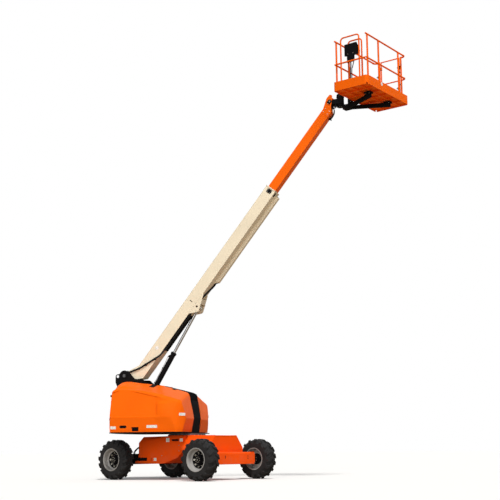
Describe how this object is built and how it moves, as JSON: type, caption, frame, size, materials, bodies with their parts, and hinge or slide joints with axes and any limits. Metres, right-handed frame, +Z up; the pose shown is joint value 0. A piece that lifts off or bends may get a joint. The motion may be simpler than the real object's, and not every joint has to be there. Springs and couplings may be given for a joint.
{
  "type": "telescopic boom lift",
  "caption": "Self-propelled telescopic boom lift with a turning superstructure, a two-section boom raised by one cylinder, and a railed work platform that turns and stays level.",
  "frame": {"origin": "On the ground under the swing axis, midway between the axles.", "axes": "+X to the steered front axle, +Y to the left side, +Z up. The boom stands raised 53 degrees and swung 23 degrees to the left, as pictured."},
  "size_m": [6.3357, 3.8726, 9.543],
  "materials": {
    "orange_paint": "gloss",
    "orange_shell": "gloss",
    "cream_paint": "satin",
    "black_paint": "satin",
    "bare_steel": "satin",
    "cast_grey": "matte",
    "chrome_rod": "gloss",
    "pad_plastic": "matte",
    "black_plastic": "matte",
    "tyre_rubber": "matte",
    "hose_rubber": "satin",
    "rim_silver": "satin"
  },
  "bodies": {
    "chassis": {"chassis_frame": "orange_paint", "chassis_nose": "orange_paint", "tie_down_lug": "black_paint", "front_axle_beam": "orange_paint", "steering_cylinder": "black_paint", "rear_drive_axle": "black_paint", "swing_bearing": "bare_steel"},
    "turntable": {"turntable_frame": "black_paint", "boom_pivot_pin": "bare_steel", "counterweight": "black_paint", "engine_block": "cast_grey", "tanks": "black_paint"},
    "left_hood": {"hood_left": "orange_shell"},
    "right_hood": {"hood_right": "orange_shell"},
    "boom_outer": {"boom_base": "cream_paint", "lift_rod_pin": "bare_steel", "boom_hose_tray": "cream_paint", "boom_hose": "hose_rubber", "boom_wear_pads": "pad_plastic"},
    "boom_inner": {"boom_fly": "orange_paint", "level_pin": "bare_steel"},
    "lift_rod": {"lift_cylinder_rod": "chrome_rod"},
    "lift_barrel": {"lift_cylinder_barrel": "black_paint"},
    "level_head": {"platform_rotator": "black_paint"},
    "platform": {"platform_clamp": "black_paint", "platform_arms": "black_paint", "platform_floor": "orange_paint", "rails_front": "orange_paint", "rails_rear": "orange_paint", "rails_gate_end": "orange_paint", "rails_console_end": "orange_paint", "console_guard": "orange_paint", "control_console": "black_plastic"},
    "gate": {"platform_gate": "orange_paint"},
    "left_knuckle": {"knuckle_left": "black_paint"},
    "right_knuckle": {"knuckle_right": "black_paint"},
    "tie_bar": {"tie_rod": "black_paint"},
    "wheel_front_left": {"tyre_front_left": "tyre_rubber", "rim_front_left": "rim_silver", "hub_front_left": "black_paint"},
    "wheel_front_right": {"tyre_front_right": "tyre_rubber", "rim_front_right": "rim_silver", "hub_front_right": "black_paint"},
    "wheel_rear_left": {"tyre_rear_left": "tyre_rubber", "rim_rear_left": "rim_silver", "hub_rear_left": "black_paint"},
    "wheel_rear_right": {"tyre_rear_right": "tyre_rubber", "rim_rear_right": "rim_silver", "hub_rear_right": "black_paint"}
  },
  "joints": [
    {"name": "turntable_swing", "type": "hinge", "parent": "chassis", "child": "turntable", "pos_m": [0, 0, 1], "axis": [0, 0, 1], "continuous": true},
    {"name": "boom_lift", "type": "hinge", "parent": "turntable", "child": "boom_outer", "pos_m": [-1.30712, -0.55484, 2.3], "axis": [0.3907, -0.9205, 0], "range_deg": [-53, 22]},
    {"name": "boom_telescope", "type": "slide", "parent": "boom_outer", "child": "boom_inner", "axis": [0.554, 0.2351, 0.7986], "range_m": [-1.95, 2.5]},
    {"name": "platform_level", "type": "hinge", "parent": "boom_inner", "child": "level_head", "pos_m": [3.13111, 1.32908, 8.42087], "axis": [0.3907, -0.9205, 0], "range_deg": [-22, 53]},
    {"name": "platform_turn", "type": "hinge", "parent": "level_head", "child": "platform", "pos_m": [3.34143, 1.41835, 8.45], "axis": [0, 0, 1], "range_deg": [-67, 113]},
    {"name": "platform_gate_hinge", "type": "hinge", "parent": "platform", "child": "gate", "pos_m": [3.93993, 2.29385, 8.7], "axis": [0, 0, 1], "range_deg": [-90, 0]},
    {"name": "lift_rod_hinge", "type": "hinge", "parent": "boom_outer", "child": "lift_rod", "pos_m": [0.24548, 0.1042, 3.82877], "axis": [0.3907, -0.9205, 0], "range_deg": [-2, 2]},
    {"name": "lift_rod_slide", "type": "slide", "parent": "lift_rod", "child": "lift_barrel", "axis": [-0.4589, -0.1948, -0.8669], "range_m": [-0.63, 0.27]},
    {"name": "left_hood_hinge", "type": "hinge", "parent": "turntable", "child": "left_hood", "pos_m": [-1.16263, -0.20421, 2.12926], "axis": [0.913, 0.3876, -0.1271], "range_deg": [0, 55]},
    {"name": "right_hood_hinge", "type": "hinge", "parent": "turntable", "child": "right_hood", "pos_m": [-0.95453, -0.69447, 2.12926], "axis": [0.913, 0.3876, -0.1271], "range_deg": [-55, 0]},
    {"name": "steer_left", "type": "hinge", "parent": "chassis", "child": "left_knuckle", "pos_m": [1.22, 0.79, 0.436], "axis": [0, 0, 1], "range_deg": [-30, 30]},
    {"name": "steer_right", "type": "hinge", "parent": "chassis", "child": "right_knuckle", "pos_m": [1.22, -0.79, 0.436], "axis": [0, 0, 1], "range_deg": [-30, 30]},
    {"name": "tie_rod_slide", "type": "slide", "parent": "chassis", "child": "tie_bar", "axis": [0, 1, 0], "range_m": [-0.0945, 0.0945]},
    {"name": "wheel_spin_front_left", "type": "hinge", "parent": "left_knuckle", "child": "wheel_front_left", "pos_m": [1.22, 0.994, 0.436], "axis": [0, 1, 0], "continuous": true},
    {"name": "wheel_spin_front_right", "type": "hinge", "parent": "right_knuckle", "child": "wheel_front_right", "pos_m": [1.22, -0.994, 0.436], "axis": [0, 1, 0], "continuous": true},
    {"name": "wheel_spin_rear_left", "type": "hinge", "parent": "chassis", "child": "wheel_rear_left", "pos_m": [-1.22, 0.994, 0.436], "axis": [0, 1, 0], "continuous": true},
    {"name": "wheel_spin_rear_right", "type": "hinge", "parent": "chassis", "child": "wheel_rear_right", "pos_m": [-1.22, -0.994, 0.436], "axis": [0, 1, 0], "continuous": true}
  ],
  "couplings": [
    {"joint": "platform_level", "follows": "boom_lift", "ratio": -1},
    {"joint": "lift_rod_hinge", "follows": "boom_lift", "ratio": 0.009},
    {"joint": "lift_rod_slide", "follows": "boom_lift", "m_per_rad": 0.6729},
    {"joint": "steer_right", "follows": "steer_left", "ratio": 1},
    {"joint": "tie_rod_slide", "follows": "steer_left", "m_per_rad": -0.178}
  ]
}
